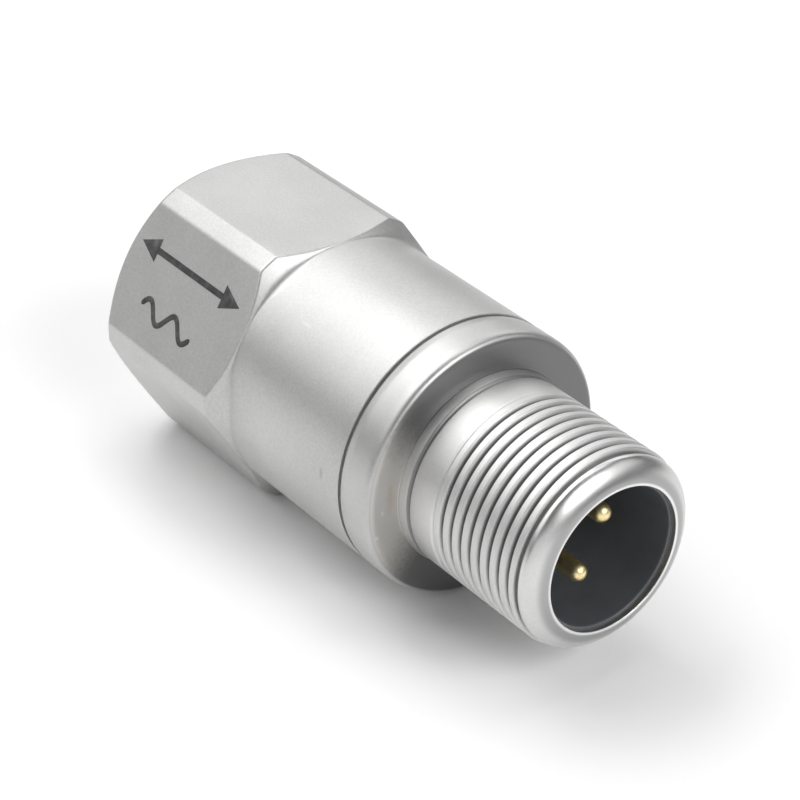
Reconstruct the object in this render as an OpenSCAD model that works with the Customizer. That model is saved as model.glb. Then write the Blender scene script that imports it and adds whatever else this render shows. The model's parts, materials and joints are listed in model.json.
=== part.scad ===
// Vibration sensor: a hexagon steel housing with a shear element and an amplifier sealed inside,
// closed by a welded connector cap that ends in a threaded neck around two contact pins.
// The sensing axis is +X, from the mounting face at x = 0. The sensor lies on one flat of its hexagon.

/* [Housing] */
// Width of the hexagon across its flats
hex_af = 22; // [21:0.5:26]
// How far the turned corners of the hexagon stand out beyond its flats
corner_rise = 1.25; // [0.6:0.05:1.4]
// Length of the hexagon, from the mounting face to the round body
hex_len = 17; // [14:0.5:24]
// How far the bevel round the mounting face cuts in from the flats
base_bevel = 0.7; // [0.3:0.1:1.5]
// How far the round body lies below the flats
body_step = 0.1; // [0.05:0.05:0.5]
// Wall of the round body
body_wall = 2.4; // [2.1:0.1:2.8]
// Width of the groove at the seam between the housing and the cap
seam_w = 0.3; // [0.2:0.05:0.6]
// Depth of the groove at the seam
seam_depth = 0.35; // [0.1:0.05:0.6]

/* [Mounting thread] */
// Core diameter of the tapped hole in the mounting face
tap_d = 4.2; // [3.3:0.1:6.8]
// Depth of the tapped hole
tap_depth = 7; // [5:0.5:10]
// Bevel at the mouth of the tapped hole
tap_bevel = 0.5; // [0.2:0.1:0.8]
// Steel between the tapped hole and the sensing chamber
floor_web = 2; // [1.8:0.1:4]

/* [Sensing element] */
// Thickness of the washer that insulates the element from the housing
washer_t = 0.8; // [0.4:0.1:2]
// Wall of the insulating sleeve
sleeve_t = 0.5; // [0.3:0.05:0.8]
// Thickness of the flange at the foot of the element post
post_flange_t = 2; // [1.2:0.1:4]
// Height of the post above its flange
post_len = 8.7; // [7:0.1:12]
// Thickness of each piezo plate
piezo_t = 1; // [0.5:0.1:1.3]
// Bare strip of the post on each side of a piezo plate
plate_margin = 1.1; // [0.6:0.1:2]
// Wall of the ring that clamps the masses
ring_t = 0.6; // [0.4:0.05:0.9]
// Free space left below and above the element
element_lift = 1; // [0.5:0.1:1.5]
// Wall of the shield can
can_t = 0.4; // [0.2:0.05:0.6]

/* [Amplifier] */
// Height of the spacer between the shield can and the amplifier board
spacer_h = 2; // [1:0.1:4]
// Radial wall of the spacer
spacer_wall = 1.5; // [0.8:0.1:2]
// Thickness of the amplifier board
board_t = 1; // [0.6:0.1:1.6]
// Free height above the board for its chips and leads
board_headroom = 3.5; // [2.5:0.1:8]
// Diameter of the insulated leads to the pins
lead_d = 1; // [0.6:0.1:1.2]
// Length of the amplifier chip
amp_l = 3; // [2:0.1:3.5]
// Width of the amplifier chip
amp_w = 5; // [3:0.1:6]
// Height of the amplifier chip
amp_h = 1.5; // [0.8:0.1:2]
// Length of each capacitor
cap_l = 3.2; // [2:0.1:3.4]
// Width of each capacitor
cap_w = 1.6; // [0.8:0.1:1.8]
// Height of each capacitor
cap_h = 1.2; // [0.5:0.1:2]
// Length of each resistor
res_l = 2; // [1:0.1:2.2]
// Width of each resistor
res_w = 1.25; // [0.5:0.05:1.4]
// Height of each resistor
res_h = 0.5; // [0.3:0.05:0.8]
// Sideways slack of each lead
lead_bow = 0.8; // [0.2:0.1:1.2]

/* [Connector] */
// Length of the cap's pilot inside the housing
pilot_len = 3; // [2:0.1:5]
// Length of the cap's rim, from the seam to the shoulder
cap_rim_len = 3.5; // [2:0.1:6]
// Bevel on the cap's front edge
cap_bevel = 0.3; // [0.1:0.05:0.8]
// Diameter of the coupling thread
thread_d = 15.88; // [15.4:0.04:17]
// Length of the coupling thread
thread_len = 9.5; // [6:0.5:12]
// Depth of the thread and of its run-out groove
thread_depth = 0.65; // [0.3:0.05:0.7]
// Width of the run-out groove at the front of the thread
runout_w = 0.5; // [0.3:0.1:1]
// Length of the smooth neck behind the thread
plain_len = 2.9; // [1.6:0.1:5]
// Width of the relief groove at the shoulder
relief_w = 0.6; // [0.4:0.1:2.5]
// Depth of the relief groove
relief_depth = 0.7; // [0.3:0.05:0.9]
// Length of the straight lip in front of the thread
lip_len = 0.05; // [0.05:0.05:2]
// Length of the rounded nose at the front of the lip
nose_len = 1.15; // [0.5:0.05:2]
// Width of the flat rim between the nose and the socket
rim_face = 0.2; // [0.1:0.05:0.6]
// Steel left in the neck under its deepest groove
neck_wall = 0.68; // [0.4:0.02:1.2]
// Wall of the black insert round the socket
insert_wall = 0.85; // [0.5:0.05:1.1]
// Thickness of the insert's floor
insert_floor = 3.5; // [2:0.1:5]
// Depth of the steel rim in front of the insert
rim_depth = 0.5; // [0.3:0.1:1]
// Distance between the two pins
pin_pitch = 4.8; // [4:0.1:5.6]
// Diameter of each pin
pin_d = 1.5; // [1:0.1:1.8]
// How far each pin's tip lies below the rim
pin_recess = 2; // [1:0.1:4]
// Width of the key in the socket
key_w = 2; // [1:0.1:3]
// Height of the key in the socket
key_h = 0.8; // [0.4:0.1:1]
// Thickness of the snap ring behind the insert
snap_t = 0.7; // [0.4:0.1:1]
// Length of the sealing resin behind the insert
resin_len = 3.5; // [2.4:0.1:4]

/* [Fits] */
// Clearance of pieces that are pressed, bonded or welded in place
close_fit = 0.02; // [0.01:0.01:0.05]
// Clearance of pieces that slide into place
slide_fit = 0.1; // [0.05:0.01:0.2]

/* [Hidden] */
$fn = 96;

// Radii of the housing
flat_r = hex_af / 2;
corner_r = flat_r + corner_rise;
base_r = flat_r - base_bevel;
body_r = flat_r - body_step;
core_r = min(body_r, base_r);
bore_r = body_r - body_wall;
seam_r = body_r - seam_depth;
tap_r = tap_d / 2;
// Half angle of a twist drill's point, and slope of the hexagon's upper chamfer
drill_half_angle = 59;
hex_chamfer_angle = 40;

// Radii of the sensing element, from the bore inwards
sleeve_r = bore_r - slide_fit;
sleeve_in_r = sleeve_r - sleeve_t;
can_r = sleeve_in_r - slide_fit;
can_in_r = can_r - can_t;
ring_clearance = 0.6;
ring_inset = 0.85;
ring_r = can_in_r - ring_clearance;
ring_in_r = ring_r - ring_t;
mass_r = ring_in_r - close_fit;
// The masses' inner faces make a triangle that just fits the ring, and the plates lie inside it.
plate_out = mass_r * cos(60);
post_apothem = plate_out - piezo_t;
piezo_w = 2 * (post_apothem * tan(60) - plate_margin);
// Width of the slot between neighbouring masses
mass_slot = 0.7;
board_r = can_r;

// Positions along the axis, from the mounting face to the tip of the neck
chamber_x = tap_depth + floor_web;
flange_x = chamber_x + washer_t;
post_x = flange_x + post_flange_t;
element_x = post_x + element_lift;
element_len = post_len - 2 * element_lift;
can_seat_h = 0.8;
can_top_gap = 1.1;
can_top_x = post_x + post_len + can_top_gap;
spacer_x = can_top_x + can_t;
board_x = spacer_x + spacer_h;
board_top_x = board_x + board_t;
pilot_x = board_top_x + board_headroom;
seam_x = pilot_x + pilot_len;
shoulder_x = seam_x + cap_rim_len;
neck_x = shoulder_x + relief_w;
thread_x = neck_x + plain_len;
thread_end_x = thread_x + thread_len;
lip_x = thread_end_x + runout_w;
tip_x = lip_x + lip_len + nose_len;

// Radii of the connector
pilot_wall = 1.8;
pilot_r = body_r - pilot_wall;
thread_r = thread_d / 2;
thread_root_r = thread_r - thread_depth;
relief_r = thread_r - relief_depth;
neck_bevel = 0.15;
lip_step = 0.2;
nose_steps = 12;
nose_power = 1.35;
lip_r = thread_r - lip_step;
seat_r = min(relief_r, thread_root_r) - neck_wall;
insert_r = seat_r - close_fit;
socket_r = insert_r - insert_wall;
rim_step = 0.2;
rim_r = socket_r + rim_step;
nose_rise = lip_r - rim_r - rim_face;

// Places of the pieces in the connector
snap_wall = 0.7;
insert_front_x = tip_x - rim_depth;
insert_back_x = neck_x + snap_wall + snap_t + slide_fit;
socket_floor_x = insert_back_x + insert_floor;
key_setback = 0.6;
key_end_x = insert_front_x - key_setback;
pin_tip_x = tip_x - pin_recess;
pin_r = pin_d / 2;
root_rise = 0.25;
root_r = pin_r + root_rise;
collar_rise = 0.25;
collar_r = root_r + collar_rise;
collar_t = 1;
tail_step = 0.2;
tail_r = pin_r - tail_step;
resin_back_x = insert_back_x - resin_len;
tail_reach = 1;
tail_x = resin_back_x - tail_reach;
snap_groove_depth = 0.5;
snap_groove_r = seat_r + snap_groove_depth;
snap_r = snap_groove_r - close_fit;
snap_reach = 0.6;
snap_in_r = insert_r - snap_reach;
snap_x = insert_back_x - snap_t;
snap_gap_angle = 40;

// The pins stand on one line across the socket, and the key is square to it. Angles run from +Y to +Z.
pin_angle = 66;
key_angle = pin_angle + 90;
overlap = 1;

// Places a shape drawn about the local Z axis along the sensor's axis, with local X and Y along Y and Z.
module on_axis() rotate([90, 0, 90]) children();

// A plain ring or disc between two places on the axis.
module tube(outer_r, inner_r, from_x, to_x)
    on_axis()
    translate([0, 0, from_x])
    difference() {
        cylinder(r = outer_r, h = to_x - from_x);
        if (inner_r > 0)
            translate([0, 0, -overlap]) cylinder(r = inner_r, h = to_x - from_x + 2 * overlap);
    }

// A round rod along the axis direction, on the axis or beside it. It also cuts the round holes.
module rod(r, from_x, to_x, out = 0, angle = 0)
    rotate([0, 0, angle])
    translate([out, 0, from_x])
    cylinder(r = r, h = to_x - from_x);

// A block whose sides follow the radius and the circumference.
module block_at(angle, out_from, out_to, width, from_x, to_x)
    rotate([0, 0, angle])
    translate([out_from, -width / 2, from_x])
    cube([out_to - out_from, width, to_x - from_x]);

// Outline of the hexagon bar after turning: a bevelled base and chamfered corners.
module turned_hexagon() {
    chamfer_len = (corner_r - flat_r) * tan(hex_chamfer_angle);
    intersection() {
        linear_extrude(hex_len) circle(r = flat_r / cos(30), $fn = 6);
        rotate_extrude() polygon([
            [0, 0], [base_r, 0], [corner_r, corner_r - base_r],
            [corner_r, hex_len - chamfer_len], [flat_r, hex_len], [0, hex_len]
        ]);
    }
}

// The tapped hole, with its bevelled mouth and the point that the drill leaves.
module tapped_hole()
    rotate_extrude() polygon([
        [0, -overlap], [tap_r + tap_bevel + overlap, -overlap], [tap_r, tap_bevel],
        [tap_r, tap_depth], [0, tap_depth + tap_r / tan(drill_half_angle)]
    ]);

module housing()
    color("silver")
    on_axis()
    difference() {
        union() {
            turned_hexagon();
            rotate_extrude() polygon([
                [0, base_bevel], [core_r, base_bevel], [core_r, hex_len],
                [body_r, hex_len], [body_r, seam_x - seam_w / 2], [seam_r, seam_x - seam_w / 2],
                [seam_r, seam_x], [0, seam_x]
            ]);
        }
        tapped_hole();
        rod(bore_r, chamber_x, seam_x + overlap);
        rod(pilot_r + close_fit, pilot_x - slide_fit, seam_x + overlap);
    }

// Round of the lip's nose, flatter than an ellipse, as radius and place on the axis.
function nose_arc(steps) = [
    for (i = [0 : steps])
    let (angle = 90 * i / steps)
    [
        lip_r - nose_rise * (1 - pow(cos(angle), nose_power)),
        tip_x - nose_len * (1 - pow(sin(angle), nose_power))
    ]
];

// The cap and its neck are turned from one bar: the half section runs from the pilot to the lip.
module connector_shell()
    color("gainsboro")
    on_axis()
    difference() {
        rotate_extrude() polygon(concat(
            [
                [0, pilot_x], [pilot_r, pilot_x], [pilot_r, seam_x],
                [seam_r, seam_x], [seam_r, seam_x + seam_w / 2], [body_r, seam_x + seam_w / 2],
                [body_r, shoulder_x - cap_bevel], [body_r - cap_bevel, shoulder_x],
                [relief_r, shoulder_x], [relief_r, neck_x],
                [thread_r - neck_bevel, neck_x], [thread_r, neck_x + neck_bevel],
                [thread_r, thread_end_x], [thread_root_r, thread_end_x],
                [thread_root_r, lip_x], [lip_r, lip_x]
            ],
            nose_arc(nose_steps),
            [[0, tip_x]]
        ));
        rod(seat_r, pilot_x - overlap, insert_front_x);
        rod(rim_r, insert_front_x - overlap, tip_x + overlap);
        rod(snap_groove_r, snap_x - slide_fit, insert_back_x);
    }

// The moulded insert: a cup round the socket, with a key in its wall and two holes in its floor.
module pin_insert()
    color([0.10, 0.10, 0.11])
    on_axis()
    difference() {
        rod(insert_r, insert_back_x, insert_front_x);
        difference() {
            rod(socket_r, socket_floor_x, insert_front_x + overlap);
            block_at(key_angle, socket_r - key_h, insert_r, key_w, socket_floor_x, key_end_x);
        }
        for (turn = [0, 180])
            rod(root_r + close_fit, insert_back_x - overlap, socket_floor_x + overlap,
                pin_pitch / 2, pin_angle + turn);
    }

// One turned contact: a round-nosed pin, a thicker root and a collar in the insert, and a tail for the lead.
module contact_pin(angle)
    color("gold")
    on_axis() {
        rod(pin_r, insert_back_x, pin_tip_x - pin_r, pin_pitch / 2, angle);
        rod(root_r, insert_back_x, socket_floor_x, pin_pitch / 2, angle);
        rotate([0, 0, angle]) translate([pin_pitch / 2, 0, pin_tip_x - pin_r]) sphere(r = pin_r);
        rod(collar_r, insert_back_x - collar_t, insert_back_x, pin_pitch / 2, angle);
        rod(tail_r, tail_x, insert_back_x, pin_pitch / 2, angle);
    }

module signal_pin() contact_pin(pin_angle);

module common_pin() contact_pin(pin_angle + 180);

module snap_ring()
    color("slategray")
    difference() {
        tube(snap_r, snap_in_r, snap_x, insert_back_x);
        on_axis()
        rotate([0, 0, key_angle])
        linear_extrude(tip_x)
        polygon([
            [0, 0],
            [2 * snap_r * cos(snap_gap_angle / 2), -2 * snap_r * sin(snap_gap_angle / 2)],
            [2 * snap_r * cos(snap_gap_angle / 2), 2 * snap_r * sin(snap_gap_angle / 2)]
        ]);
    }

// Cast resin that fills the cap behind the insert and closes round the pins.
module sealing_resin()
    color("darkgoldenrod")
    on_axis()
    difference() {
        union() {
            rod(seat_r - close_fit, resin_back_x, snap_x - slide_fit);
            rod(snap_in_r - slide_fit, resin_back_x, insert_back_x);
        }
        for (turn = [0, 180]) {
            rod(tail_r + close_fit, resin_back_x - overlap, insert_back_x + overlap,
                pin_pitch / 2, pin_angle + turn);
            rod(collar_r + close_fit, insert_back_x - collar_t - close_fit, insert_back_x + overlap,
                pin_pitch / 2, pin_angle + turn);
        }
    }

module isolation_washer()
    color("ivory")
    tube(sleeve_r, 0, chamber_x, flange_x);

module insulating_sleeve()
    color("white")
    tube(sleeve_r, sleeve_in_r, flange_x, board_top_x);

// Turns a piece made for the first face of the three-sided post to any of its faces.
module on_face(index) on_axis() rotate([0, 0, key_angle + 120 * (index - 1)]) children();

module element_post()
    color("lightsteelblue")
    on_axis() {
        rod(can_r, flange_x, post_x);
        rod(can_in_r - close_fit, post_x - overlap, post_x + can_seat_h);
        rotate([0, 0, key_angle + 60])
        translate([0, 0, post_x])
        cylinder(r = 2 * post_apothem, h = post_len, $fn = 3);
    }

module piezo_plate(index)
    color("khaki")
    on_face(index)
    block_at(0, post_apothem, plate_out, piezo_w, element_x, element_x + element_len);

// One third of the seismic mass: a segment of the clamping ring's bore, cut back for the slots.
module seismic_mass(index)
    color("dimgray")
    on_face(index)
    intersection() {
        rod(mass_r, element_x, element_x + element_len);
        block_at(0, plate_out, mass_r + overlap, 2 * (mass_r * sin(60) - mass_slot),
            element_x, element_x + element_len);
    }

module preload_ring()
    color("steelblue")
    tube(ring_r, ring_in_r, element_x + ring_inset, element_x + element_len - ring_inset);

// The lead from the first mass runs straight up through the can to the board.
element_lead_r = 0.25;
element_lead_out = (plate_out + mass_r) / 2;
can_hole_r = 0.9;

module shield_can()
    color("lightgray")
    difference() {
        tube(can_r, 0, post_x, spacer_x);
        on_axis() {
            rod(can_in_r, post_x - overlap, can_top_x);
            rod(can_hole_r, can_top_x - overlap, spacer_x + overlap, element_lead_out, key_angle);
        }
    }

module board_spacer()
    color("ivory")
    tube(can_r, can_r - spacer_wall, spacer_x, board_x);

module amplifier_board()
    color("seagreen")
    tube(board_r, 0, board_x, board_top_x);

// Chips sit on the board. Their places are shares of its radius, along and across the key's direction.
amp_along = 0.53;
cap_along = -0.46;
cap_across = 0.24;
res_along = -0.75;
res_across = 0.114;

module chip(along, across, length, width, height)
    on_axis()
    rotate([0, 0, key_angle])
    translate([along * board_r - length / 2, across * board_r - width / 2, board_top_x])
    cube([length, width, height]);

module amplifier_chip()
    color([0.15, 0.15, 0.16])
    chip(amp_along, 0, amp_l, amp_w, amp_h);

module chip_capacitors()
    color("tan")
    for (side = [-1, 1]) chip(cap_along, side * cap_across, cap_w, cap_l, cap_h);

module chip_resistors()
    color([0.2, 0.2, 0.22])
    for (place = [-3, -1, 1, 3]) chip(res_along, place * res_across, res_l, res_w, res_h);

module element_lead()
    color("silver")
    on_axis()
    rod(element_lead_r, element_x + element_len, board_x, element_lead_out, key_angle);

// A bowed round lead from the board up to a pin's tail: rings of points on a half sine.
lead_sides = 12;
lead_rings = 14;
function lead_ring(i) = [
    for (j = [0 : lead_sides - 1])
    let (share = i / lead_rings, turn = 360 * j / lead_sides)
    [
        pin_pitch / 2 + lead_d / 2 * cos(turn),
        lead_bow * sin(180 * share) + lead_d / 2 * sin(turn),
        board_top_x + share * (tail_x - board_top_x)
    ]
];

module bowed_lead(angle) {
    points = [for (i = [0 : lead_rings]) each lead_ring(i)];
    walls = [
        for (i = [0 : lead_rings - 1], j = [0 : lead_sides - 1])
        let (a = i * lead_sides + j, b = i * lead_sides + (j + 1) % lead_sides)
        [a, a + lead_sides, b + lead_sides, b]
    ];
    start = [for (j = [0 : lead_sides - 1]) j];
    end = [for (j = [lead_sides - 1 : -1 : 0]) lead_rings * lead_sides + j];
    on_axis() rotate([0, 0, angle]) polyhedron(points, concat(walls, [start, end]));
}

module signal_lead() color("firebrick") bowed_lead(pin_angle);

module common_lead() color("navy") bowed_lead(pin_angle + 180);

housing();
connector_shell();
pin_insert();
signal_pin();
common_pin();
snap_ring();
sealing_resin();
isolation_washer();
insulating_sleeve();
element_post();
piezo_plate(1);  // piezo_plate_1
piezo_plate(2);  // piezo_plate_2
piezo_plate(3);  // piezo_plate_3
seismic_mass(1);  // seismic_mass_1
seismic_mass(2);  // seismic_mass_2
seismic_mass(3);  // seismic_mass_3
preload_ring();
shield_can();
board_spacer();
amplifier_board();
amplifier_chip();
chip_capacitors();
chip_resistors();
element_lead();
signal_lead();
common_lead();
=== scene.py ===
"""Looks of a vibration sensor: a blasted steel hexagon body with a threaded two-pin connector.

Every visible piece is a surface worked out as a grid. Most are profiles carried round an axis along X.
Lengths are in millimetres until a mesh is made. Angles run from +Y towards +Z.
"""
import json
import math

import bmesh
import bpy
import numpy as np
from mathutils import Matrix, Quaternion, Vector


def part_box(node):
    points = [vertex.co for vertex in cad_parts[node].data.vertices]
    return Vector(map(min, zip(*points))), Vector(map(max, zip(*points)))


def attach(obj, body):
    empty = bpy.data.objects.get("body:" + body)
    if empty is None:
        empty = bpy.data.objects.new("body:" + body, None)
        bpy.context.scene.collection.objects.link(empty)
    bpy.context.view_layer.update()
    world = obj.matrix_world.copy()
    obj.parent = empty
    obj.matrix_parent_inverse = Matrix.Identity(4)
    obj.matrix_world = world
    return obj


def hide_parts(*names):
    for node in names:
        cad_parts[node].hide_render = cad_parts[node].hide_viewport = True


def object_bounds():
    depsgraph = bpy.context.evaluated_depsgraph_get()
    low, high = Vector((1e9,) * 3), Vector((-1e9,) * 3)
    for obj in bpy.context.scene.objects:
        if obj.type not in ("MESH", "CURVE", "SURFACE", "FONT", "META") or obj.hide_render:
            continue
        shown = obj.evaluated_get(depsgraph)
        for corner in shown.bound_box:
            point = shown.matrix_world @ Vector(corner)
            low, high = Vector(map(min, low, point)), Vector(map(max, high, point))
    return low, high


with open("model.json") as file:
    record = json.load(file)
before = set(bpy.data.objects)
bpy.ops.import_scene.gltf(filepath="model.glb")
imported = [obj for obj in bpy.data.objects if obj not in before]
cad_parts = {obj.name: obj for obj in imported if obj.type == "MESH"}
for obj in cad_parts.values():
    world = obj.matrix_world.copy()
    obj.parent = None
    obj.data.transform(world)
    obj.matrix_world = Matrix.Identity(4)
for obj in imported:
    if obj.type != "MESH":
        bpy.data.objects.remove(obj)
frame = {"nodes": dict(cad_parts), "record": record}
cad_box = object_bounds()

MM = 0.001
TURN = 2 * math.pi


def box_mm(node):
    """Lowest and highest corner of a node, in millimetres."""
    return [np.array(corner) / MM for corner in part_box(node)]


# Sizes that the frame gives
housing_high = box_mm("housing")[1]
shell_low, shell_high = box_mm("connector_shell")
insert_low, insert_high = box_mm("pin_insert")
FLAT_R = housing_high[2]
CORNER_R = housing_high[1]
SEAM_X = housing_high[0]
BODY_R = shell_high[2]
PILOT_X = shell_low[0]
TIP_X = shell_high[0]
INSERT_BACK_X = insert_low[0]
INSERT_FRONT_X = insert_high[0]
INSERT_R = insert_high[2]
CHAMBER_X = box_mm("isolation_washer")[0][0]

# Sizes of the housing
HEX_LEN = 17.0
BASE_BEVEL = 0.7
BASE_R = FLAT_R - BASE_BEVEL
HEX_CHAMFER = math.radians(40)
CHAMFER_LEAST = 0.06
CHAMFER_FILLET = 0.50
CORNER_REACH = math.radians(0.8)
SEAM_W = 0.3
SEAM_R = BODY_R - 0.35
TAP_R = 2.1
TAP_DEPTH = 7.0
TAP_BEVEL = 0.5
TAP_PITCH = 0.8
TAP_THREAD = 0.38
TAP_RUNOUT = 1.2
DRILL_HALF_ANGLE = math.radians(59)
BORE_R = BODY_R - 2.4
PILOT_R = BODY_R - 1.8

# Sizes of the connector
SHOULDER_X = SEAM_X + 3.5
CAP_ROUND = 0.75
CAP_EDGE_LEN = 0.8
CAP_EDGE_DROP = 0.08
THREAD_R = 7.94
THREAD_PITCH = 25.4 / 24
THREAD_DEPTH = 0.65
THREAD_CUT = 0.5
THREAD_CREST = 0.45
THREAD_ROOT = 0.04
THREAD_X = SHOULDER_X + 3.5
THREAD_END_X = THREAD_X + 9.5
THREAD_END_STEP = 0.1
THREAD_ROOT_R = THREAD_R - THREAD_DEPTH
THREAD_CREST_X = THREAD_X + 1.31
FOOT_R = THREAD_R + 0.15
FOOT_X = SHOULDER_X + 0.85
FOOT_LINE_W = 0.4
FOOT_LINE_DEPTH = 0.3
LIP_X = THREAD_END_X + 0.25
LIP_R = THREAD_R - 0.2
SEAT_R = INSERT_R + 0.02
SOCKET_R = INSERT_R - 0.85
RIM_R = SOCKET_R + 0.2
NOSE_LEN = 1.15
NOSE_POWER = 1.35
NOSE_RISE = LIP_R - RIM_R - 0.2
SNAP_GROOVE_R = SEAT_R + 0.5
SNAP_X = INSERT_BACK_X - 0.8
SOCKET_FLOOR_X = INSERT_BACK_X + 3.5
KEY_ANGLE = math.radians(156)
KEY_W = 2.0
KEY_H = 0.8
KEY_SIDE = math.radians(0.4)
KEY_END_X = INSERT_FRONT_X - 0.6
PIN_R = 0.75
PIN_ROOT_R = 1.0
PIN_TAIL_R = 0.55
PIN_COLLAR_LEN = 1.0

# Reach of the rounding at a plain broken edge and at others
EDGE = 0.05
BORE_EDGE = 0.06
HEX_EDGE = 0.14
BEVEL_EDGE = 0.16
BODY_EDGE = 0.10
SEAM_EDGE = 0.03
CAP_EDGE = 0.15
NECK_EDGE = 0.08
MOULD_EDGE = 0.1
SOCKET_EDGE = 0.15
SOCKET_FILLET = 0.3

# Rows along the threads, columns round the pieces, points along the noses, and the gap beside a thread's rows
TAP_ROWS = 112
THREAD_ROWS = 240
SHELL_COLUMNS = 240
PIN_COLUMNS = 48
NOSE_POINTS = 20
PIN_NOSE_POINTS = 11
ROW_GAP = 0.05

# The marks on the front flat: places along X and up the flat
MARK_ANGLE = math.radians(150)
MARK_SUNK = 0.02
MARK_PROUD = 0.012
ARROW_X = 8.6
ARROW_UP = 2.0
WAVE_X = 8.2
WAVE_UP = -2.4

# Small marks of use, one with painted light, as (centre, spread, raggedness of the edge), with the nicks'
# places as (y, z)
BODY_DENT = ((29.3, -10.88, 0.6), (0.35, 0.50, 0.90), 0.6)
BODY_SCRATCH = ((22.0, -6.9, 8.45), (1.0, 0.30, 0.25), 0.6)
# The shoulder's worn patch on its -Y side also takes off the painted shade there, a painted lighter side
SHOULDER_WEAR_AND_LIGHT = ((SHOULDER_X, -10.0, 0.0), (1.0, 6.0, 10.0), 0.18)
SHOULDER_STAIN = ((SHOULDER_X, -8.8, 0.6), (0.6, 1.0, 3.0), 0.9)
NICK_PLACES = ((-9.9, -2.4), (-9.5, -0.4))
SHOULDER_NICKS = [((SHOULDER_X, y, z), (0.6, 0.5, 0.6), 1.0) for y, z in NICK_PLACES]

# Margins over which the finishes and the painted shade and highlight change: a pair holds the distances where
# a change starts and ends
SEAM_FADE = (0.12, 0.02)
NECK_FADE = (0.0, 0.15)
LIP_FADE = (0.3, 0.0)
FRONT_FADE = (0.4, 0.08)
RIM_FADE = (0.12, 0.3)
GROOVE_FADE = (0.35, 0.08)
FACE_HALF = 0.05
BAND_FADE = 0.1
FOOT_LINE_FADE = 0.08

# The camera stands where the photograph was taken from and is aimed at the middle of the sensor.
CAMERA_AT = Vector((156.0, -103.0, 106.0)) * MM
CAMERA_AIM = Vector((24.7, 0.0, 0.6)) * MM
CAMERA_ROLL = math.radians(1.23)
CAMERA_LENS = 115.0
CAMERA_SENSOR = 36.0

# Stage, in metres, and soft boxes as (name, azimuth, elevation, size, power): degrees, metres and watts
FLOOR_HALF = 1.5
LIGHT_AIM = Vector((25, 0, 0)) * MM
LIGHT_DISTANCE = 0.6
ROOM_LIGHT = 0.04
SOFT_BOXES = (
    ("key", 180, 58, (0.30, 0.30), 1.0),
    ("crown", 225, 58, (0.30, 0.30), 0.85),
    ("front", 5, 35, (0.36, 0.30), 1.8),
    ("right", 45, 33, (0.55, 0.30), 0.5),
    ("back", 135, 33, (0.60, 0.30), 0.88),
    ("left", 225, 33, (0.60, 0.30), 0.76),
    ("side", 270, 33, (0.30, 0.30), 0.25),
    ("low_side", 315, 9, (0.60, 0.18), 0.3),
    ("low_left", 210, 9, (0.30, 0.18), 0.06),
    ("low_back", 110, 9, (0.50, 0.18), 0.15),
    ("overhead", 100, 74, (0.30, 0.30), 0.6),
)


# Shapes

# A rounding's longest reach as a share of the shorter side, and the place of its outer points in reaches
REACH_SHARE = 0.3
OUTER_POINT = 1.5

# The least length that is divided by, in millimetres, and how close points merge, in metres
LEAST_LENGTH = 1e-9
MERGE_DISTANCE = 2e-7


def rounded(corners, steps=5):
    """Rounds the inner corners of a line of (x, r, reach), x and r numbers or arrays over the columns.

    At a corner P with reach f and unit directions a and b to its neighbours, the line follows the curve
    (1-t)^2 (P + f a) + 2t(1-t) P + t^2 (P + f b), for t from 0 to 1. One more point on each side, half a
    reach further out, keeps the stretches between corners flat. Returns x and r as rows by columns.
    """
    width = max(np.size(value) for x, r, _ in corners for value in (x, r))
    line = np.array([[np.broadcast_to(value, width) for value in (x, r)] for x, r, _ in corners], float)
    t = np.linspace(0, 1, steps + 1)[:, None, None]
    rows = [line[:1]]
    for before, corner, after, (_, _, reach) in zip(line, line[1:], line[2:], corners[1:]):
        before_len = np.maximum(np.linalg.norm(before - corner, axis=0), LEAST_LENGTH)
        after_len = np.maximum(np.linalg.norm(after - corner, axis=0), LEAST_LENGTH)
        f = np.minimum(reach, REACH_SHARE * np.minimum(before_len, after_len))
        a = f * (before - corner) / before_len
        b = f * (after - corner) / after_len
        rows.append((corner + OUTER_POINT * a)[None])
        rows.append((1 - t) ** 2 * (corner + a) + 2 * t * (1 - t) * corner + t ** 2 * (corner + b))
        rows.append((corner + OUTER_POINT * b)[None])
    rows = np.concatenate([*rows, line[-1:]])
    return rows[:, 0], rows[:, 1]


def stacked(*parts):
    """Joins stretches of a profile, each an (x, r) pair of rows by columns, into one."""
    width = max(part[0].shape[1] for part in parts)
    return tuple(
        np.concatenate([np.broadcast_to(part[k], (part[k].shape[0], width)) for part in parts])
        for k in (0, 1)
    )


def carried_round(x, r, angles, centre=(0.0, 0.0)):
    """Carries a profile round an axis along X: y = y0 + r cos(angle), z = z0 + r sin(angle)."""
    x, r, angles = np.broadcast_arrays(x, r, angles[None])
    return np.stack([x, centre[0] + r * np.cos(angles), centre[1] + r * np.sin(angles)], axis=-1)


def thread_form(x, angles, pitch, crest_x, crest=0.2, root=0.1):
    """Right-hand screw thread as a height from 0 in the root to 1 on the crest.

    It is a triangle wave of (x - crest_x) / pitch - angle / turn, which peaks at crest_x on the +Y side, cut
    off at the crest and root, which are shares of its height, and softened halfway to 3h^2 - 2h^3.
    """
    phase = np.mod((x - crest_x) / pitch - angles / TURN, 1.0)
    wave = np.abs(2 * phase - 1)
    height = np.clip((wave - root) / (1 - root - crest), 0, 1)
    return (height + height * height * (3 - 2 * height)) / 2


def ramp(x, start, end):
    """Smooth step from 0 at start to 1 at end: 3t^2 - 2t^3."""
    t = np.clip((x - start) / (end - start), 0, 1)
    return t * t * (3 - 2 * t)


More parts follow.
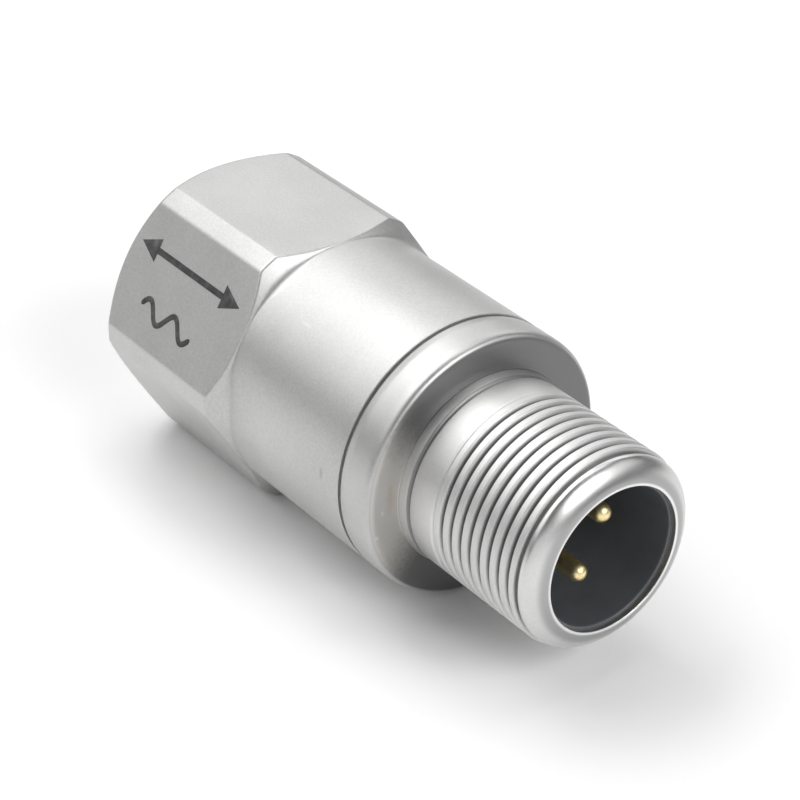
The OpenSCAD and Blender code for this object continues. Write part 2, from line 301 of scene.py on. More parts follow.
def piece(name, points, material, replaces=(), loop=False):
    """Makes a grid of points, closed round its columns, into a piece that rides on the body.

    The rows close into a loop, or else the first and last row are points on the axis, which merge into poles.
    """
    rows, columns, _ = points.shape
    row = np.arange(rows if loop else rows - 1)[:, None]
    column = np.arange(columns)[None]
    next_row = (row + 1) % rows
    next_column = (column + 1) % columns
    corners = np.broadcast_arrays(
        row * columns + column, next_row * columns + column,
        next_row * columns + next_column, row * columns + next_column,
    )
    faces = np.stack(corners, axis=-1).reshape(-1, 4)
    solid(name, points.reshape(-1, 3), faces, material, replaces)


def solid(name, points, faces, material, replaces):
    """Makes points in millimetres and faces into a closed, smooth mesh with its faces turned outwards."""
    mesh = bpy.data.meshes.new(name)
    mesh.from_pydata(points * MM, [], faces.tolist())
    work = bmesh.new()
    work.from_mesh(mesh)
    bmesh.ops.remove_doubles(work, verts=work.verts, dist=MERGE_DISTANCE)
    bmesh.ops.recalc_face_normals(work, faces=work.faces)
    work.to_mesh(mesh)
    work.free()
    mesh.polygons.foreach_set("use_smooth", np.full(len(mesh.polygons), True))
    mesh.materials.append(material)
    made = bpy.data.objects.new(name, mesh)
    bpy.context.scene.collection.objects.link(made)
    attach(made, "root")
    if replaces:
        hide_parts(*replaces)


# Materials


def grey(value):
    """Neutral colour."""
    return (value, value, value, 1)


# Tones as linear colours: a pair is the range of a finish, and a single one is that of a mark or a place
BLASTED_TONES = ((0.475, 0.475, 0.47, 1), (0.605, 0.605, 0.60, 1))
CAP_TONES = ((0.465, 0.465, 0.46, 1), (0.575, 0.575, 0.57, 1))
# The neck's tones, lighter than the cap's: painted light over neck, thread and lip, standing in for light the
# neck lacks beside the shoulder
NECK_PAINTED_LIGHT_TONES = ((0.60, 0.60, 0.595, 1), (0.70, 0.70, 0.695, 1))
INSERT_TONES = ((0.090, 0.094, 0.102, 1), (0.105, 0.110, 0.120, 1))
GOLD_TONES = ((0.95, 0.78, 0.40, 1), (1.0, 0.85, 0.48, 1))
MARK_TONES = ((0.05, 0.05, 0.052, 1), (0.11, 0.11, 0.108, 1))
FLOOR_TONES = (grey(0.94), grey(0.96))
# Painted shade in the seam's groove
SEAM_PAINTED_SHADE = grey(0.50)
DENT_TONE = grey(0.40)
SCRATCH_TONE = grey(0.60)
# Painted shade on the front of the lip, round the opening
LIP_FRONT_PAINTED_SHADE = grey(0.41)
# Painted highlight: a bright line on the rim round the opening
RIM_PAINTED_HIGHLIGHT = (0.85, 0.85, 0.84, 1)
# Painted shade in the thread's grooves and in the fine line at the neck's foot
GROOVE_PAINTED_SHADE = grey(0.25)
# Painted shade on the shoulder's face
SHOULDER_PAINTED_SHADE = grey(0.20)
# Warm worn tint that also lifts the painted shoulder shade: a painted lighter side
WEAR_AND_LIGHT_TONE = (0.58, 0.565, 0.54, 1)
STAIN_TONE = (0.55, 0.50, 0.44, 1)
NICK_TONE = (0.70, 0.70, 0.69, 1)

# Ends of the grain's values that are mapped to the roughness, on the bare outer metals and on the rest
METAL_GRAIN = (0.25, 0.75)
PLAIN_GRAIN = (0.2, 0.8)

# Roughness of the outer finishes, as ranges
BLASTED_ROUGHNESS = (0.42, 0.50)
TURNED_ROUGHNESS = (0.40, 0.48)
INSERT_ROUGHNESS = (0.36, 0.5)
GOLD_ROUGHNESS = (0.30, 0.42)
MARK_ROUGHNESS = (0.5, 0.7)

# A sealed inner piece's roughness by its class in the record, with its range, and the range of its shades
INNER_ROUGHNESS = {"brushed_steel": 0.32, "gloss_plastic": 0.15, "ceramic": 0.5, "matte_plastic": 0.5}
INNER_ROUGHNESS_RANGE = (-0.06, 0.08)
INNER_SHADES = (0.85, 1.12)

# Places of the factor and the two colours, and of the mixed colour, among a Mix node's sockets
MIX_INPUTS = (0, 6, 7)
MIX_RESULT = 2


class Nodes:
    """Adds nodes to a tree and links them, so that a material reads as a list of its steps."""

    def __init__(self, tree):
        self.tree = tree

    def add(self, kind, settings=None, **inputs):
        """Adds a node with its settings and its inputs, an underscore standing for a space in their names."""
        node = self.tree.nodes.new("ShaderNode" + kind)
        for key, value in (settings or {}).items():
            setattr(node, key, value)
        for key, value in inputs.items():
            self.put(node.inputs[key.replace("_", " ")], value)
        return node

    def put(self, socket, value):
        """Links a socket to an input, or sets the input to a plain value."""
        if isinstance(value, bpy.types.NodeSocket):
            self.tree.links.new(value, socket)
        else:
            socket.default_value = value

    def math(self, operation, a, b=0.0):
        """Works out one operation on two numbers."""
        node = self.add("Math", {"operation": operation})
        self.put(node.inputs[0], a)
        self.put(node.inputs[1], b)
        return node.outputs[0]

    def vector(self, operation, a, b=(0.0, 0.0, 0.0)):
        """Works out one operation on two vectors."""
        node = self.add("VectorMath", {"operation": operation})
        self.put(node.inputs[0], a)
        self.put(node.inputs[1], b)
        return node.outputs["Value" if operation == "LENGTH" else "Vector"]

    def span(self, value, low, high, to_low=0.0, to_high=1.0):
        """Maps a value from one range to another, smoothly and without going past the ends."""
        ends = {"From_Min": low, "From_Max": high, "To_Min": to_low, "To_Max": to_high}
        node = self.add("MapRange", {"interpolation_type": "SMOOTHSTEP"}, Value=value, **ends)
        return node.outputs["Result"]

    def past(self, value, start, end):
        """Mask that rises from 0 at one place to 1 at another, in millimetres."""
        return self.span(value, start * MM, end * MM)

    def short_of(self, value, start, end):
        """Mask that falls from 1 at one place to 0 at another, in millimetres."""
        return self.span(value, start * MM, end * MM, 1.0, 0.0)

    def between(self, value, start, end, fade=BAND_FADE):
        """Mask that is 1 between two places and fades over a margin outside them, in millimetres."""
        rise = self.past(value, start - fade, start)
        return self.math("MULTIPLY", rise, self.short_of(value, end, end + fade))

    def blend(self, factor, a, b):
        """Mixes two colours."""
        node = self.add("Mix", {"data_type": "RGBA"})
        for index, value in zip(MIX_INPUTS, (factor, a, b)):
            self.put(node.inputs[index], value)
        return node.outputs[MIX_RESULT]

    def layered(self, colour, layers):
        """Lays (mask, colour) pairs over a colour, one after the other."""
        for mask, tone in layers:
            colour = self.blend(mask, colour, tone)
        return colour

    def noise(self, vector, scale, detail=2.0, roughness=0.5):
        """Value of a noise over a place."""
        node = self.add("TexNoise", Vector=vector, Scale=scale, Detail=detail, Roughness=roughness)
        return node.outputs["Fac"]

    def axis_and_radius(self, place):
        """Place along the sensor's X axis, and the distance from that axis."""
        radius = self.vector("LENGTH", self.vector("MULTIPLY", place, (0.0, 1.0, 1.0)))
        return self.add("SeparateXYZ", Vector=place).outputs["X"], radius


def group(name, inputs, outputs, vectors=()):
    """Starts a shader node group with a Vector, further vector and value inputs, and value outputs."""
    tree = bpy.data.node_groups.new(name, "ShaderNodeTree")
    for label in ("Vector", *vectors):
        tree.interface.new_socket(label, in_out="INPUT", socket_type="NodeSocketVector")
    for label in inputs:
        tree.interface.new_socket(label, in_out="INPUT", socket_type="NodeSocketFloat")
    for label in outputs:
        tree.interface.new_socket(label, in_out="OUTPUT", socket_type="NodeSocketFloat")
    make = Nodes(tree)
    return tree, make, tree.nodes.new("NodeGroupInput").outputs, tree.nodes.new("NodeGroupOutput").inputs


def surface_grain_group():
    """Fine speckle of a blasted or moulded skin, and the cloudy tone of handling.

    Grain is a coarse noise mixed with a finer one. Tone is cloud + Mottle (speckle - cloud), where the
    speckle is the grain with more contrast.
    """
    tree, make, given, result = group("surface_grain", ["Speckle", "Cloud", "Mottle"], ["Grain", "Tone"])
    coarse_share, fine_scale = 0.6, 2.7
    speckle_ends, cloud_ends = (0.35, 0.65), (0.3, 0.7)
    coarse = make.noise(given["Vector"], given["Speckle"], detail=3.0, roughness=0.65)
    fine = make.noise(given["Vector"], make.math("MULTIPLY", given["Speckle"], fine_scale))
    grain = make.math(
        "ADD", make.math("MULTIPLY", coarse, coarse_share), make.math("MULTIPLY", fine, 1 - coarse_share),
    )
    speckle = make.span(grain, *speckle_ends)
    cloud = make.span(make.noise(given["Vector"], given["Cloud"], detail=4.0, roughness=0.6), *cloud_ends)
    mottle = make.math("MULTIPLY", make.math("SUBTRACT", speckle, cloud), given["Mottle"])
    make.put(result["Grain"], grain)
    make.put(result["Tone"], make.math("ADD", cloud, mottle))
    return tree


def turning_rings_group():
    """Fine rings that a lathe leaves: noise of x + 0.9 radius, the same all round the axis."""
    tree, make, given, result = group("turning_rings", ["Rings"], ["Rings"])
    slant = 0.9
    axis, radius = make.axis_and_radius(given["Vector"])
    along = make.math("ADD", axis, make.math("MULTIPLY", radius, slant))
    line = make.add(
        "TexNoise", {"noise_dimensions": "1D"}, W=along, Scale=given["Rings"], Detail=3.0, Roughness=0.6,
    )
    make.put(result["Rings"], line.outputs["Fac"])
    return tree


def worn_spot_group():
    """Soft spot: 1 up to about half its spread round a centre and 0 beyond it, with a ragged edge."""
    tree, make, given, result = group("worn_spot", ["Ragged"], ["Spot"], ["Centre", "Spread"])
    core, edge_scale = 0.45, 3000.0
    away = make.vector("DIVIDE", make.vector("SUBTRACT", given["Vector"], given["Centre"]), given["Spread"])
    edge = make.math("MULTIPLY", make.noise(given["Vector"], edge_scale), given["Ragged"])
    distance = make.math("ADD", make.vector("LENGTH", away), edge)
    make.put(result["Spot"], make.span(distance, core, 1.0, 1.0, 0.0))
    return tree


def seam_shade_group():
    """Mask of the groove at the seam, below the body's surface, for its painted shade."""
    tree, make, given, result = group("seam_shade", [], ["Shade"])
    axis, radius = make.axis_and_radius(given["Vector"])
    low = make.short_of(radius, *(BODY_R - fade for fade in SEAM_FADE))
    near = make.between(axis, SEAM_X - SEAM_W, SEAM_X + SEAM_W)
    make.put(result["Shade"], make.math("MULTIPLY", low, near))
    return tree


SURFACE_GRAIN = surface_grain_group()
TURNING_RINGS = turning_rings_group()
WORN_SPOT = worn_spot_group()
SEAM_SHADE = seam_shade_group()


def started(name):
    """Starts a material: its nodes, its Principled shader and its Object coordinates."""
    material = bpy.data.materials.new(name)
    material.use_nodes = True
    make = Nodes(material.node_tree)
    shader = material.node_tree.nodes["Principled BSDF"]
    place = make.add("TexCoord").outputs["Object"]
    return material, make, shader, place


def grouped(make, tree, **inputs):
    """Places a node group in a material, with its values."""
    return make.add("Group", {"node_tree": tree}, **inputs).outputs


def grained(make, shader, grain, tones, roughness, ends=PLAIN_GRAIN):
    """Gives a plain finish its colour between two tones and its roughness between two values."""
    make.put(shader.inputs["Base Color"], make.blend(grain["Tone"], *tones))
    make.put(shader.inputs["Roughness"], make.span(grain["Grain"], *ends, *roughness))


def bumped(make, shader, height, strength, distance):
    """Feeds a height into the shader's Normal through a Bump node, with its distance in metres."""
    bump = make.add("Bump", Strength=strength, Distance=distance, Height=height)
    make.put(shader.inputs["Normal"], bump.outputs["Normal"])


def worn_spot(make, place, centre, spread, ragged):
    """Mask of one worn spot, with its centre and spread in millimetres."""
    sizes = {"Centre": Vector(centre) * MM, "Spread": Vector(spread) * MM, "Ragged": ragged}
    return grouped(make, WORN_SPOT, Vector=place, **sizes)["Spot"]


def blasted_steel():
    """Bead-blasted stainless steel: satin, with a fine grain, a cloudy tone, a dent, a faint scratch and
    painted shade in the seam.
    """
    material, make, shader, place = started("blasted_steel")
    grain = grouped(make, SURFACE_GRAIN, Vector=place, Speckle=5000.0, Cloud=110.0, Mottle=0.65)
    dent = worn_spot(make, place, *BODY_DENT)
    tone = make.layered(make.blend(grain["Tone"], *BLASTED_TONES), [
        (dent, DENT_TONE),
        # painted shade in the seam's groove
        (grouped(make, SEAM_SHADE, Vector=place)["Shade"], SEAM_PAINTED_SHADE),
        (worn_spot(make, place, *BODY_SCRATCH), SCRATCH_TONE),
    ])
    make.put(shader.inputs["Base Color"], tone)
    make.put(shader.inputs["Roughness"], make.span(grain["Grain"], *METAL_GRAIN, *BLASTED_ROUGHNESS))
    shader.inputs["Metallic"].default_value = 1.0
    dent_depth = 0.8
    height = make.math("SUBTRACT", grain["Grain"], make.math("MULTIPLY", dent, dent_depth))
    bumped(make, shader, height, strength=0.4, distance=0.00001)
    return material


def turned_steel():
    """Turned stainless steel: satin with fine rings and a glossier lip, painted shade in grooves, on the
    shoulder and lip front, a painted lighter neck and a painted rim highlight.
    """
    material, make, shader, place = started("turned_steel")
    neck_rougher, lip_glossier, lip_calmer = 0.03, 0.13, 0.8
    grain = grouped(make, SURFACE_GRAIN, Vector=place, Speckle=6000.0, Cloud=140.0, Mottle=0.5)
    rings = grouped(make, TURNING_RINGS, Vector=place, Rings=9000.0)["Rings"]
    axis, radius = make.axis_and_radius(place)
    neck = make.past(axis, *(SHOULDER_X + fade for fade in NECK_FADE))
    lip = make.past(axis, *(LIP_X - fade for fade in LIP_FADE))
    front = make.past(axis, *(TIP_X - fade for fade in FRONT_FADE))
    rim = make.math("MULTIPLY", lip, make.short_of(radius, *(RIM_R + fade for fade in RIM_FADE)))
    deep = make.short_of(radius, *(THREAD_R - fade for fade in GROOVE_FADE))
    groove = make.math("MULTIPLY", deep, make.between(axis, THREAD_X, THREAD_END_X - THREAD_END_STEP))
    foot_line = make.between(axis, FOOT_X, FOOT_X + FOOT_LINE_W / 2, FOOT_LINE_FADE)
    face = make.between(axis, SHOULDER_X - FACE_HALF, SHOULDER_X + FACE_HALF)
    tone = make.layered(make.blend(grain["Tone"], *CAP_TONES), [
        # painted light: a lighter tone from the neck forward
        (neck, make.blend(grain["Tone"], *NECK_PAINTED_LIGHT_TONES)),
        # painted shade on the lip's front
        (front, LIP_FRONT_PAINTED_SHADE),
        # painted highlight on the rim
        (rim, RIM_PAINTED_HIGHLIGHT),
        # painted shade in the thread's grooves and the foot line
        (make.math("MAXIMUM", groove, foot_line), GROOVE_PAINTED_SHADE),
        # painted shade on the shoulder's face
        (face, SHOULDER_PAINTED_SHADE),
        # painted shade in the seam's groove
        (grouped(make, SEAM_SHADE, Vector=place)["Shade"], SEAM_PAINTED_SHADE),
        # worn warm patch that also lifts the painted shade on the shoulder's -Y side, a painted lighter side
        (make.math("MULTIPLY", face, worn_spot(make, place, *SHOULDER_WEAR_AND_LIGHT)), WEAR_AND_LIGHT_TONE),
        (worn_spot(make, place, *SHOULDER_STAIN), STAIN_TONE),
        *((worn_spot(make, place, *nick), NICK_TONE) for nick in SHOULDER_NICKS),
    ])
    make.put(shader.inputs["Base Color"], tone)
    satin = make.span(grain["Grain"], *METAL_GRAIN, *TURNED_ROUGHNESS)
    satin = make.math("ADD", satin, make.math("MULTIPLY", neck, neck_rougher))
    satin = make.math("SUBTRACT", satin, make.math("MULTIPLY", lip, lip_glossier))
    make.put(shader.inputs["Roughness"], satin)
    shader.inputs["Metallic"].default_value = 1.0
    calm = make.math("SUBTRACT", 1.0, make.math("MULTIPLY", lip, lip_calmer))
    height = make.math("MULTIPLY", make.math("ADD", grain["Grain"], rings), calm)
    bumped(make, shader, height, strength=0.25, distance=0.000008)
    return material


def insert_black():
    """Moulded black plastic with a faint sheen."""
    material, make, shader, place = started("insert_black")
    grain = grouped(make, SURFACE_GRAIN, Vector=place, Speckle=5000.0, Cloud=300.0)
    grained(make, shader, grain, INSERT_TONES, INSERT_ROUGHNESS)
    bumped(make, shader, grain["Grain"], strength=0.2, distance=0.00002)
    return material


def pin_gold():
    """Pale gold plating, polished, with a faint grain."""
    material, make, shader, place = started("pin_gold")
    grain = grouped(make, SURFACE_GRAIN, Vector=place, Speckle=3000.0, Cloud=900.0)
    grained(make, shader, grain, GOLD_TONES, GOLD_ROUGHNESS, METAL_GRAIN)
    shader.inputs["Metallic"].default_value = 1.0
    bumped(make, shader, grain["Grain"], strength=0.1, distance=0.00001)
    return material


def marked_dark():
    """Laser-darkened steel of the marks, mottled and rough."""
    material, make, shader, place = started("marked_dark")
    grain = grouped(make, SURFACE_GRAIN, Vector=place, Speckle=6000.0, Cloud=1500.0)
    grained(make, shader, grain, MARK_TONES, MARK_ROUGHNESS)
    shader.inputs["Metallic"].default_value = 0.6
    bumped(make, shader, grain["Grain"], strength=0.4, distance=0.00003)
    return material


def inner_finish(entry):
    """Finish of a sealed inner piece, from its entry in the record: colour, tone, grain and gloss."""
    material, make, shader, place = started("inner_" + entry["slot"])
    grain = grouped(make, SURFACE_GRAIN, Vector=place, Speckle=3500.0, Cloud=400.0)
    colour = np.array(entry["base_color"][:3])
    tones = [(*np.clip(colour * shade, 0, 1), 1.0) for shade in INNER_SHADES]
    middle = INNER_ROUGHNESS[entry["class"]]
    grained(make, shader, grain, tones, [middle + step for step in INNER_ROUGHNESS_RANGE])
    shader.inputs["Metallic"].default_value = float(entry["class"] == "brushed_steel")
    bumped(make, shader, grain["Grain"], strength=0.2, distance=0.00002)
    return material


def floor_material():
    """Pale matt paper with a faint unevenness."""
    material, make, shader, place = started("pale_floor")
    cloud = make.noise(place, scale=6.0, detail=3.0)
    make.put(shader.inputs["Base Color"], make.blend(cloud, *FLOOR_TONES))
    shader.inputs["Roughness"].default_value = 0.8
    shader.inputs["Specular IOR Level"].default_value = 0.2
    return material


# Pieces


def hexagon_columns():
    """Angles and radii of the turned hexagon's outline, all the way round.

    Over each flat the radius is FLAT_R / cos(phi), with phi from the flat's middle, up to the angle where it
    reaches CORNER_R. There the flat and the turned corner meet in a curve like the one that rounded() makes.
    """
    flat_columns, bend_columns, corner_columns = 23, 6, 4
    edge = math.acos(FLAT_R / CORNER_R)
    flat = np.linspace(-edge + 2 * CORNER_REACH, edge - 2 * CORNER_REACH, flat_columns)
    t = np.linspace(0, 1, bend_columns)
    inner = np.array([FLAT_R, FLAT_R * math.tan(edge - CORNER_REACH)])
    crest = np.array([FLAT_R, FLAT_R * math.tan(edge)])
    outer = CORNER_R * np.array([math.cos(edge + CORNER_REACH), math.sin(edge + CORNER_REACH)])
    curve = np.outer((1 - t) ** 2, inner) + np.outer(2 * t * (1 - t), crest) + np.outer(t ** 2, outer)
    bend = np.arctan2(curve[:, 1], curve[:, 0])
    corner = np.linspace(edge + 2 * CORNER_REACH, TURN / 12, corner_columns)
    half = np.concatenate([bend, corner])
    phi = np.concatenate([-half[:-1][::-1], flat, half])
    bend_r = np.hypot(curve[:, 0], curve[:, 1])
    half_r = np.concatenate([bend_r, np.full(len(corner), CORNER_R)])
    radius = np.concatenate([half_r[:-1][::-1], FLAT_R / np.cos(flat), half_r])
    angles = np.concatenate([TURN / 12 + k * TURN / 6 + phi for k in range(6)])
    return angles, np.tile(radius, 6)


def housing(material):
    """Hexagon and round body as one profile that changes round the axis.

    The profile starts at the drill point of the tapped hole, runs out over the mounting face, the bevel, the
    flats, the chamfer and the body to the seam, and back down the chamber to its floor. The chamfer starts at
    HEX_LEN - (radius - FLAT_R) tan(HEX_CHAMFER), less CHAMFER_LEAST, so that it is there on the flats too.
    """
    angles, hexagon = hexagon_columns()
    thread_x = np.linspace(TAP_DEPTH, TAP_BEVEL, TAP_ROWS)[:, None]
    cut = thread_form(thread_x, angles[None], TAP_PITCH, 0.0)
    cut = cut * ramp(thread_x, TAP_DEPTH, TAP_DEPTH - TAP_RUNOUT)
    thread = (np.broadcast_to(thread_x, cut.shape), TAP_R + TAP_THREAD * cut)
    hole = rounded([
        (TAP_DEPTH + TAP_R / math.tan(DRILL_HALF_ANGLE), 0.0, 0.0),
        (TAP_DEPTH, TAP_R, 0.0),
    ])
    chamfer_x = HEX_LEN - (hexagon - FLAT_R) * math.tan(HEX_CHAMFER) - CHAMFER_LEAST
    outside = rounded([
        (TAP_BEVEL, TAP_R, 0.0),
        (0.0, TAP_R + TAP_BEVEL, BORE_EDGE),
        (0.0, BASE_R, HEX_EDGE),
        (hexagon - BASE_R, hexagon, BEVEL_EDGE),
        (chamfer_x, hexagon, HEX_EDGE),
        (HEX_LEN, BODY_R, CHAMFER_FILLET),
        (SEAM_X - SEAM_W / 2, BODY_R, BODY_EDGE),
        (SEAM_X - SEAM_W / 2, SEAM_R, SEAM_EDGE),
        (SEAM_X, SEAM_R, SEAM_EDGE),
        (SEAM_X, PILOT_R, EDGE),
        (PILOT_X, PILOT_R, EDGE),
        (PILOT_X, BORE_R, EDGE),
        (CHAMBER_X, BORE_R, EDGE),
        (CHAMBER_X, 0.0, 0.0),
    ])
    x, r = stacked(hole, thread, outside)
    piece("hexagon_housing", carried_round(x, r, angles), material, ["housing"])


def connector_shell(material):
    """Cap and neck as one closed profile, with the coupling thread cut as a right-hand helix.

    The neck has a low foot ring at the shoulder, which ends in a fine line. The thread's depth grows from
    nothing over its first turn. The lip's nose is flatter than an ellipse, with k the NOSE_POWER:
    x = tip - length (1 - sin(a)^k) and r = lip - rise (1 - cos(a)^k).
    """
    angles = np.linspace(0, TURN, SHELL_COLUMNS, endpoint=False)
    thread_x = np.linspace(THREAD_X, THREAD_END_X, THREAD_ROWS)[:, None]
    form = thread_form(thread_x, angles[None], THREAD_PITCH, THREAD_CREST_X, THREAD_CREST, THREAD_ROOT)
    depth = THREAD_CUT * (1 - form) * ramp(thread_x, THREAD_X, THREAD_X + THREAD_PITCH)
    end = THREAD_DEPTH * ramp(thread_x, THREAD_END_X - THREAD_END_STEP, THREAD_END_X)
    thread_r = THREAD_R - np.maximum(depth, end)
    thread = (np.broadcast_to(thread_x, thread_r.shape), thread_r)
    rear = rounded([
        (SNAP_X, SEAT_R, 0.0),
        (PILOT_X, SEAT_R, EDGE),
        (PILOT_X, PILOT_R, EDGE),
        (SEAM_X, PILOT_R, EDGE),
        (SEAM_X, SEAM_R, SEAM_EDGE),
        (SEAM_X + SEAM_W / 2, SEAM_R, SEAM_EDGE),
        (SEAM_X + SEAM_W / 2, BODY_R - CAP_EDGE_DROP, EDGE),
        (SEAM_X + CAP_EDGE_LEN, BODY_R, CAP_EDGE),
        (SHOULDER_X, BODY_R, CAP_ROUND),
        (SHOULDER_X, FOOT_R, EDGE),
        (FOOT_X, THREAD_R, NECK_EDGE),
        (FOOT_X + FOOT_LINE_W / 2, THREAD_R - FOOT_LINE_DEPTH, NECK_EDGE),
        (FOOT_X + FOOT_LINE_W, THREAD_R, NECK_EDGE),
        (THREAD_X - ROW_GAP, THREAD_R, 0.0),
    ])
    arc = np.linspace(0, TURN / 4, NOSE_POINTS)
    nose_x = TIP_X - NOSE_LEN * (1 - np.sin(arc) ** NOSE_POWER)
    nose_r = LIP_R - NOSE_RISE * (1 - np.abs(np.cos(arc)) ** NOSE_POWER)
    front = rounded([
        (THREAD_END_X + ROW_GAP, THREAD_ROOT_R, 0.0),
        (LIP_X, THREAD_ROOT_R, BORE_EDGE),
        (LIP_X, LIP_R, NECK_EDGE),
        *zip(nose_x, nose_r, np.zeros(len(arc))),
        (TIP_X, RIM_R, BORE_EDGE),
        (INSERT_FRONT_X, RIM_R, EDGE),
        (INSERT_FRONT_X, SEAT_R, EDGE),
        (INSERT_BACK_X, SEAT_R, EDGE),
        (INSERT_BACK_X, SNAP_GROOVE_R, EDGE),
        (SNAP_X, SNAP_GROOVE_R, 0.0),
    ], steps=4)
    x, r = stacked(rear, thread, front)
    points = carried_round(x, r, angles)
    piece("connector_neck", points, material, ["connector_shell"], loop=True)


def pin_insert(material):
    """Cup with a floor: the inner wall steps in over the key's width to a flat face KEY_H inside the wall."""
    key_columns, wall_columns = 7, 140
    half_key = math.asin(KEY_W / 2 / (SOCKET_R - KEY_H / 2))
    key = KEY_ANGLE + np.linspace(-half_key, half_key, key_columns)
    wall_start = KEY_ANGLE + half_key + KEY_SIDE
    wall = np.linspace(wall_start, KEY_ANGLE + TURN - half_key - KEY_SIDE, wall_columns)
    angles = np.concatenate([key, wall])
    inner = np.concatenate([(SOCKET_R - KEY_H) / np.cos(key - KEY_ANGLE), np.full(len(wall), SOCKET_R)])
    x, r = rounded([
        (INSERT_BACK_X, 0.0, 0.0),
        (INSERT_BACK_X, INSERT_R, MOULD_EDGE),
        (INSERT_FRONT_X, INSERT_R, MOULD_EDGE),
        (INSERT_FRONT_X, SOCKET_R, SOCKET_EDGE),
        (KEY_END_X, SOCKET_R, EDGE),
        (KEY_END_X, inner, MOULD_EDGE),
        (SOCKET_FLOOR_X, inner, SOCKET_FILLET),
        (SOCKET_FLOOR_X, 0.0, 0.0),
    ])
    piece("socket_insert", carried_round(x, r, angles), material, ["pin_insert"])


def contact_pin(node, material):
    """Turned contact with a round nose: a profile carried round the pin's own axis."""
    low, high = box_mm(node)
    middle = (low + high) / 2
    collar_r = (high[2] - low[2]) / 2
    collar_x = INSERT_BACK_X - PIN_COLLAR_LEN
    tail_x, tip_x = low[0], high[0]
    arc = np.linspace(0, TURN / 4, PIN_NOSE_POINTS, endpoint=False)
    x, r = rounded([
        (tail_x, 0.0, 0.0),
        (tail_x, PIN_TAIL_R, EDGE),
        (collar_x, PIN_TAIL_R, EDGE),
        (collar_x, collar_r, EDGE),
        (INSERT_BACK_X, collar_r, EDGE),
        (INSERT_BACK_X, PIN_ROOT_R, EDGE),
        (SOCKET_FLOOR_X, PIN_ROOT_R, EDGE),
        (SOCKET_FLOOR_X, PIN_R, EDGE),
        *zip(tip_x - PIN_R * (1 - np.sin(arc)), PIN_R * np.cos(arc), np.zeros(len(arc))),
        (tip_x, 0.0, 0.0),
    ], steps=4)
    angles = np.linspace(0, TURN, PIN_COLUMNS, endpoint=False)
    points = carried_round(x, r, angles, (middle[1], middle[2]))
    piece(node + "_turned", points, material, [node])


def flat_mark(name, along, up, half_width, material):
    """Stroke on the front flat, standing a hair proud of it like a laser mark.

    The stroke's middle runs through the points (along X, up the flat). At each one it is half_width wide to
    either side, square to the middle line, and its width is 0 at its ends. It is carried along the flat's
    normal.
    """
    slope = np.stack([np.gradient(along), np.gradient(up)], axis=-1)
    slope = slope / np.linalg.norm(slope, axis=1, keepdims=True)
    middle = np.stack([along, up], axis=-1)
    aside = half_width[:, None] * np.stack([-slope[:, 1], slope[:, 0]], axis=-1)
    normal = np.array([0.0, math.cos(MARK_ANGLE), math.sin(MARK_ANGLE)])
    upward = np.array([0.0, math.sin(MARK_ANGLE), -math.cos(MARK_ANGLE)])
    plane = np.stack([np.array([1.0, 0.0, 0.0]), upward])
    low, high = normal * (FLAT_R - MARK_SUNK), normal * (FLAT_R + MARK_PROUD)
    edges = [(middle - aside, low), (middle + aside, low), (middle + aside, high), (middle - aside, high)]
    points = np.stack([edge @ plane + level for edge, level in edges], axis=1)
    piece(name, points, material)


def axis_arrow(material):
    """Double arrow along the sensing axis: a thin shaft between two heads that widen from their tips."""
    half_len, head_len, head_w, shaft_w = 6.8, 2.3, 1.0, 0.27
    neck = half_len - head_len
    along = ARROW_X + np.array([-half_len, -neck, -neck, neck, neck, half_len])
    half_width = np.array([0.0, head_w, shaft_w, shaft_w, head_w, 0.0])
    flat_mark("axis_arrow", along, np.full(len(along), ARROW_UP), half_width, material)


def motion_wave(material):
    """Two waves under the arrow: up = height sin(turns).

    At a distance d along from an end, up to w, the half width is sqrt(w^2 - (w - d)^2), which rounds the end.
    """
    half_len, height, waves, w, steps = 3.5, 0.75, 2.0, 0.24, 96
    share = np.linspace(-1, 1, steps + 1)
    end_gap = np.minimum(half_len * (1 - np.abs(share)), w)
    half_width = np.sqrt(np.maximum(w * w - (w - end_gap) ** 2, 0))
    up = WAVE_UP + height * np.sin(share * waves * TURN / 2)
    flat_mark("motion_wave", WAVE_X + half_len * share, up, half_width, material)


housing(blasted_steel())
connector_shell(turned_steel())
pin_insert(insert_black())
gold = pin_gold()
for pin_node in ("signal_pin", "common_pin"):
    contact_pin(pin_node, gold)
mark = marked_dark()
axis_arrow(mark)
motion_wave(mark)

# Inner pieces keep their solids and get their finish from the record.
record = frame["record"]
finishes = {entry["slot"]: entry for entry in record["materials"]}
made_finishes = {}
for part in record["subparts"]:
    node_object = frame["nodes"][part["node"]]
    if node_object.hide_render:
        continue
    slot_name = part["material_slot"]
    if slot_name not in made_finishes:
        made_finishes[slot_name] = inner_finish(finishes[slot_name])
    node_object.data.materials.clear()
    node_object.data.materials.append(made_finishes[slot_name])


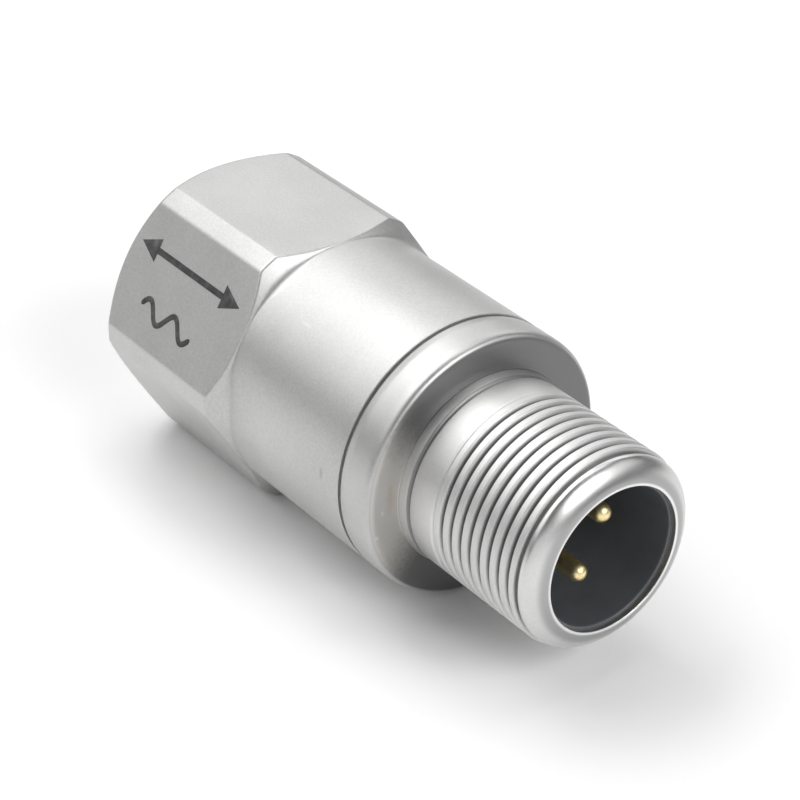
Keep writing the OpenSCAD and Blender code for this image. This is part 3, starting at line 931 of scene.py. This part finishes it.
# Stage, light and camera


def pale_floor():
    """Square of floor under the sensor's lowest point."""
    level = cad_box[0][2]
    corners = [(x * FLOOR_HALF, y * FLOOR_HALF, level) for x, y in ((-1, -1), (1, -1), (1, 1), (-1, 1))]
    mesh = bpy.data.meshes.new("pale_floor")
    mesh.from_pydata(corners, [], [(0, 1, 2, 3)])
    mesh.materials.append(floor_material())
    made = bpy.data.objects.new("pale_floor", mesh)
    bpy.context.scene.collection.objects.link(made)


def soft_box(name, azimuth, elevation, size, power):
    """Soft box at degrees from +X towards +Y and above the floor, facing the sensor."""
    light = bpy.data.lights.new(name, "AREA")
    light.shape = "RECTANGLE"
    light.size, light.size_y = size
    light.energy = power
    lamp = bpy.data.objects.new(name, light)
    lamp.visible_camera = False
    a, e = math.radians(azimuth), math.radians(elevation)
    way = Vector((math.cos(e) * math.cos(a), math.cos(e) * math.sin(a), math.sin(e)))
    lamp.location = LIGHT_AIM + LIGHT_DISTANCE * way
    lamp.rotation_euler = (-way).to_track_quat("-Z", "Y").to_euler()
    bpy.context.scene.collection.objects.link(lamp)


def studio_world():
    """Faint even room light."""
    world = bpy.data.worlds.new("studio")
    world.use_nodes = True
    back = world.node_tree.nodes["Background"]
    back.inputs["Color"].default_value = grey(1)
    back.inputs["Strength"].default_value = ROOM_LIGHT
    bpy.context.scene.world = world


def camera():
    """Camera at the photograph's place, aimed at the sensor."""
    data = bpy.data.cameras.new("camera")
    data.lens = CAMERA_LENS
    data.sensor_width = CAMERA_SENSOR
    data.clip_start = 0.01
    made = bpy.data.objects.new("camera", data)
    made.location = CAMERA_AT
    aimed = (CAMERA_AIM - CAMERA_AT).to_track_quat("-Z", "Y")
    made.rotation_euler = (aimed @ Quaternion((0, 0, 1), CAMERA_ROLL)).to_euler()
    bpy.context.scene.collection.objects.link(made)
    bpy.context.scene.camera = made


pale_floor()
for soft_box_values in SOFT_BOXES:
    soft_box(*soft_box_values)
studio_world()
camera()
bpy.context.scene.view_settings.view_transform = "Standard"
